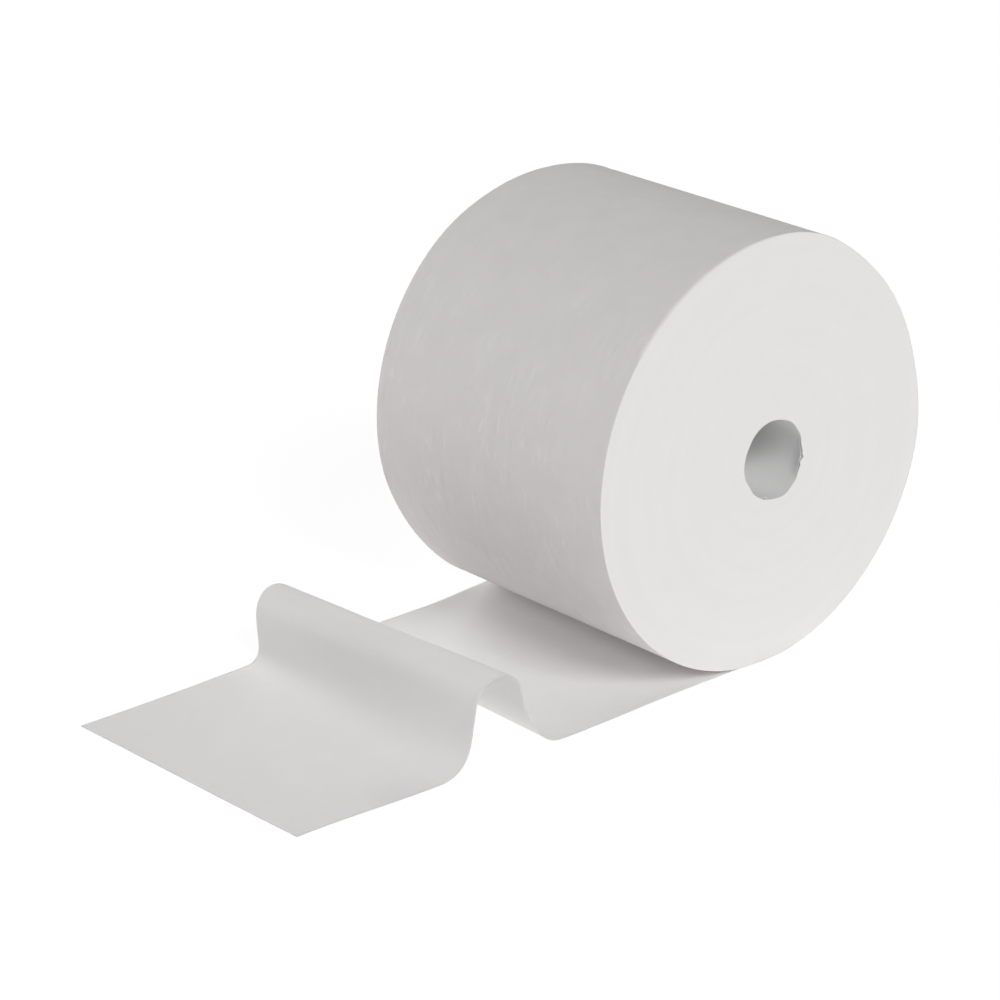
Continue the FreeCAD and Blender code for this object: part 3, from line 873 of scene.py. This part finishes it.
def web_surface(roll, web, right, left):
    """The middle of the pulled web: rows from below the roll to the cut, columns left to right."""
    right_line = edge_line(roll, web, right)
    left_line = edge_line(roll, web, left)
    across = np.linspace(0.0, 1.0, WEB_COLUMNS + 1)[None, :, None]
    lines = left_line[:, None, :] * (1 - across) + right_line[:, None, :] * across

    # Rows are spread evenly along the web.
    steps = np.linalg.norm(np.diff(lines.mean(axis=1), axis=0), axis=1)
    place = np.concatenate([[0.0], np.cumsum(steps)])
    count = int(round(place[-1] / WEB_STEP))
    wanted = np.linspace(0.0, place[-1], count + 1)
    reach, height = [np.stack([np.interp(wanted, place, line) for line in lines[:, :, axis].T],
                              axis=1) for axis in (0, 1)]
    across = np.broadcast_to(across[0, :, 0], reach.shape)

    # Away from its edges the web turns into its flat run more softly.
    toe_start, toe_end = place[TOE_SPAN * SPAN_ROWS], place[(TOE_SPAN + 1) * SPAN_ROWS]
    near_toe = (smoothstep(wanted, toe_start - SOFT_REACH, toe_start)
                * (1 - smoothstep(wanted, toe_end, toe_end + SOFT_REACH)))
    inner = smoothstep(across, 0.0, 0.3) * (1 - smoothstep(across, 0.7, 1.0))
    weight = np.exp(-((wanted[:, None] - wanted[None, :]) / SOFTENING) ** 2 / 2)
    weight /= weight.sum(axis=1, keepdims=True)
    soft = near_toe[:, None] * inner
    reach = reach + (weight @ reach - reach) * soft
    height = height + (weight @ height - height) * soft

    # The left edge follows the roll for longer and comes down to the floor further out.
    lifted = roll.radius - np.sqrt(np.maximum(roll.radius ** 2 - reach ** 2, 0.0))
    bulge = (np.minimum(lifted * NIP_FOLLOW, web.nip_lift)
             * (1 - smoothstep(reach, *NIP_FALL)))
    height = height + bulge * (1 - smoothstep(across, 0.0, 0.75))

    # Beyond the hump the left edge hasn't quite come down to the floor.
    toe = float(left_line[:, 0].max()) - left.end_run
    raised = (smoothstep(reach, toe - TOE_BEFORE, toe)
              * (1 - smoothstep(reach, toe, toe + TOE_BEYOND)))
    height = height + web.toe_lift * raised * (1 - across) ** 2

    # Slight waves, which begin in front of the roll and never dip below the floor.
    x_share = across * 2 - 1
    waves = sum(size * np.sin(reach * along + x_share * over + start)
                for size, along, over, start in WAVES)
    free = smoothstep(reach, *WAVES_BEGIN)
    height = height + (waves - WAVES_LOWEST) * WAVES_SHARE * web.waviness * free

    # The edges run out a little towards the hump and in towards the cut.
    spread = smoothstep(reach, *RUN_OUT)
    narrow = smoothstep(reach, *RUN_IN)
    ends = [edge.flare * spread - edge.nip_inset * (1 - spread) - edge.narrowing * narrow
            for edge in (left, right)]
    half = roll.width / 2 - EDGE_GAP
    x = x_share * half - ends[0] * (1 - across) ** 2 + ends[1] * across ** 2
    y = -roll.bore_setback - reach
    z = height + web.thickness / 2 + FLOOR_GAP - roll.floor_drop
    return np.stack([x, y, z], axis=2)


def closed_sheet(name, surface, thickness, material):
    """A closed mesh of that thickness about a grid of points."""
    rows, columns = surface.shape[:2]
    along = np.gradient(surface, axis=0)
    over = np.gradient(surface, axis=1)
    normal = np.cross(over, -along)
    normal /= np.linalg.norm(normal, axis=2, keepdims=True)
    top = (surface + normal * thickness / 2).reshape(-1, 3)
    under = (surface - normal * thickness / 2).reshape(-1, 3)
    number = np.arange(rows * columns).reshape(rows, columns)
    below = rows * columns
    corners = [number[:-1, :-1], number[1:, :-1], number[1:, 1:], number[:-1, 1:]]
    upper = np.stack([corner.ravel() for corner in corners], axis=1)
    lower = upper[:, ::-1] + below
    ring = np.concatenate([number[0, :-1], number[:-1, -1], number[-1, :0:-1], number[:0:-1, 0]])
    ring_next = np.roll(ring, -1)
    border = np.stack([ring, ring_next, ring_next + below, ring + below], axis=1)
    faces = np.concatenate([upper, lower, border])
    mesh = bpy.data.meshes.new(name)
    mesh.from_pydata(np.concatenate([top, under]).tolist(), [], faces.tolist())
    mesh.materials.append(material)
    mesh.polygons.foreach_set("use_smooth", [True] * len(faces))
    mesh.update()
    return mesh


class WIPER_OT_loose_web(bpy.types.Operator):
    """Lay out the web that has been pulled off the roll"""
    bl_idname = "wiper_roll.loose_web"
    bl_label = "Loose Web"

    def execute(self, context):
        scene = context.scene
        surface = web_surface(scene.wiper_roll, scene.wiper_web, scene.wiper_right_edge,
                              scene.wiper_left_edge)
        mesh = closed_sheet("loose_web", surface, scene.wiper_web.thickness,
                            material_set()["paper_web"])
        piece = link_object("loose_web", mesh)
        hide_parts(CAD_NODE)
        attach(piece, "root")
        return {"FINISHED"}


# ---- The stage ----

CAMERA_PLACE = Vector((2.21261, -2.16193, 1.12471))
CAMERA_AIM = Vector((-0.07366, -0.13140, -0.07134))
CAMERA_LENS = 126.258
FLOOR_HALF = 9.0
WHITE = (1.0, 1.0, 1.0, 1.0)
# The floor's glow, which is painted light that reaches the roll from below, how far from the line of
# contact it begins and is full, and how far that line stays inside the ends of the roll. Where the
# glow fades out under the roll it is a painted shadow.
FLOOR_GLOW = 0.40
GLOW_START = 20 * MM
GLOW_FULL = 90 * MM
GLOW_MARGIN = 60 * MM
# The floor as the camera sees it: a dim surface that takes the shadow, and a plain glow.
SHOWN_TONE = (0.15, 0.15, 0.15, 1.0)
SHOWN_GLOW = 0.92
# The lamps: level, the direction that the light comes from, and its spread in degrees.
LAMPS = (
    ("key", 1.95, (0.77, -0.18, 0.61), 25),
    ("fill_left", 1.95, (-0.9, 0.0, 0.3), 60),
    ("fill_back_left", 0.62, (-0.95, 0.25, 0.02), 60),
    ("fill_front", 0.31, (0.1, -0.9, 0.25), 60),
)


def add_camera():
    """A camera that looks slightly down on the roll's right end."""
    data = bpy.data.cameras.new("camera")
    data.lens = CAMERA_LENS
    data.sensor_width = 36.0
    data.clip_start = 0.1
    data.clip_end = 60.0
    camera = link_object("camera", data)
    camera.location = CAMERA_PLACE
    camera.rotation_euler = (CAMERA_AIM - CAMERA_PLACE).to_track_quat("-Z", "Y").to_euler()
    bpy.context.scene.camera = camera


def seen_rays(graph):
    """One for rays that show the background: from the camera, a mirror or glass. Light that
    spreads through paper is a transmission ray too, but a diffuse one, and doesn't count."""
    path = graph.node("ShaderNodeLightPath")
    camera, glossy, through, diffuse = [
        Wire(graph, path.outputs[name]) for name in
        ("Is Camera Ray", "Is Glossy Ray", "Is Transmission Ray", "Is Diffuse Ray")]
    return graph.math("MINIMUM", camera + glossy + through * (1.0 - diffuse), 1.0)


def add_floor(look, roll):
    """A wide white floor that keeps a faint shadow of the roll. It glows a little, which is painted
    light from below in place of a lit table's bounce, and the glow fades out under the roll as a
    painted shadow."""
    level = -roll.floor_drop
    mesh = bpy.data.meshes.new("floor")
    corners = ((-1, -1), (1, -1), (1, 1), (-1, 1))
    mesh.from_pydata([(x * FLOOR_HALF, y * FLOOR_HALF, level) for x, y in corners], [],
                     [(0, 1, 2, 3)])
    floor = link_object("floor", mesh)
    material = bpy.data.materials.new("white_floor")
    graph = cleared_graph(material)
    bounce_and_painted_glow = graph.wire("ShaderNodeBsdfDiffuse", {"Color": (*look.floor, 1.0)})
    x, y = graph.parts(graph.wire("ShaderNodeTexCoord", output="Object"))[:2]
    # Painted shadow: near the roll's line of contact the floor's glow is faded out.
    covered = roll.width / 2 - GLOW_MARGIN
    beside = graph.math("MAXIMUM", graph.math("ABSOLUTE", x) - covered, 0.0)
    away = graph.math("SQRT", beside * beside + (y + roll.bore_setback) ** 2.0)
    clear = graph.ramp(away, GLOW_START, GLOW_FULL)
    painted_floor_glow = graph.wire("ShaderNodeEmission", {"Strength": clear * FLOOR_GLOW})
    bounce_and_painted_glow = graph.wire("ShaderNodeAddShader", {0: bounce_and_painted_glow, 1: painted_floor_glow})
    shown = graph.wire("ShaderNodeBsdfDiffuse", {"Color": SHOWN_TONE})
    glow = graph.wire("ShaderNodeEmission", {"Strength": SHOWN_GLOW})
    white = graph.wire("ShaderNodeAddShader", {0: shown, 1: glow})
    surface = graph.wire("ShaderNodeMixShader", {0: seen_rays(graph), 1: bounce_and_painted_glow, 2: white})
    graph.node("ShaderNodeOutputMaterial", {"Surface": surface})
    mesh.materials.append(material)


def add_world():
    """A sky that is white wherever it shows and gives no light of its own."""
    world = bpy.data.worlds.new("studio")
    bpy.context.scene.world = world
    graph = cleared_graph(world)
    sky = graph.wire("ShaderNodeBackground", {"Color": WHITE, "Strength": seen_rays(graph)})
    graph.node("ShaderNodeOutputWorld", {"Surface": sky})


def add_sun(name, level, direction, spread_degrees):
    """A broad lamp that is far away and shines from that direction."""
    data = bpy.data.lights.new(name, "SUN")
    data.energy = level
    data.angle = math.radians(spread_degrees)
    lamp = link_object(name, data)
    lamp.rotation_euler = Vector(direction).to_track_quat("Z", "Y").to_euler()


class WIPER_OT_stage(bpy.types.Operator):
    """Add the floor, the light and the camera"""
    bl_idname = "wiper_roll.stage"
    bl_label = "Stage"

    def execute(self, context):
        scene = context.scene
        scene.view_settings.view_transform = "Standard"
        add_camera()
        add_floor(scene.wiper_look, scene.wiper_roll)
        add_world()
        for lamp in LAMPS:
            add_sun(*lamp)
        return {"FINISHED"}


# ---- Panel and registration ----

OPERATORS = (WIPER_OT_wound_roll, WIPER_OT_inner_turn, WIPER_OT_loose_web, WIPER_OT_stage)
GROUPS = {
    "wiper_roll": WIPER_PG_roll,
    "wiper_web": WIPER_PG_web,
    "wiper_right_edge": WIPER_PG_right_edge,
    "wiper_left_edge": WIPER_PG_left_edge,
    "wiper_look": WIPER_PG_look,
}


class WIPER_PT_panel(bpy.types.Panel):
    """Sizes, colours and pieces of the wiper roll"""
    bl_idname = "WIPER_PT_panel"
    bl_label = "Wiper Roll"
    bl_space_type = "VIEW_3D"
    bl_region_type = "UI"
    bl_category = "Wiper Roll"

    def draw(self, context):
        for operator in OPERATORS:
            self.layout.operator(operator.bl_idname)
        for name, kind in GROUPS.items():
            box = self.layout.box()
            box.label(text=name.replace("_", " ").capitalize())
            for key in kind.__annotations__:
                box.prop(getattr(context.scene, name), key)


CLASSES = (*GROUPS.values(), *OPERATORS, WIPER_PT_panel)


def register():
    for each in CLASSES:
        bpy.utils.register_class(each)
    for name, group in GROUPS.items():
        setattr(bpy.types.Scene, name, bpy.props.PointerProperty(type=group))


def unregister():
    for name in GROUPS:
        delattr(bpy.types.Scene, name)
    for each in reversed(CLASSES):
        bpy.utils.unregister_class(each)


def main():
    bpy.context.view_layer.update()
    register()
    bpy.ops.wiper_roll.wound_roll()
    bpy.ops.wiper_roll.inner_turn()
    bpy.ops.wiper_roll.loose_web()
    bpy.ops.wiper_roll.stage()


if __name__ == "__main__":
    main()
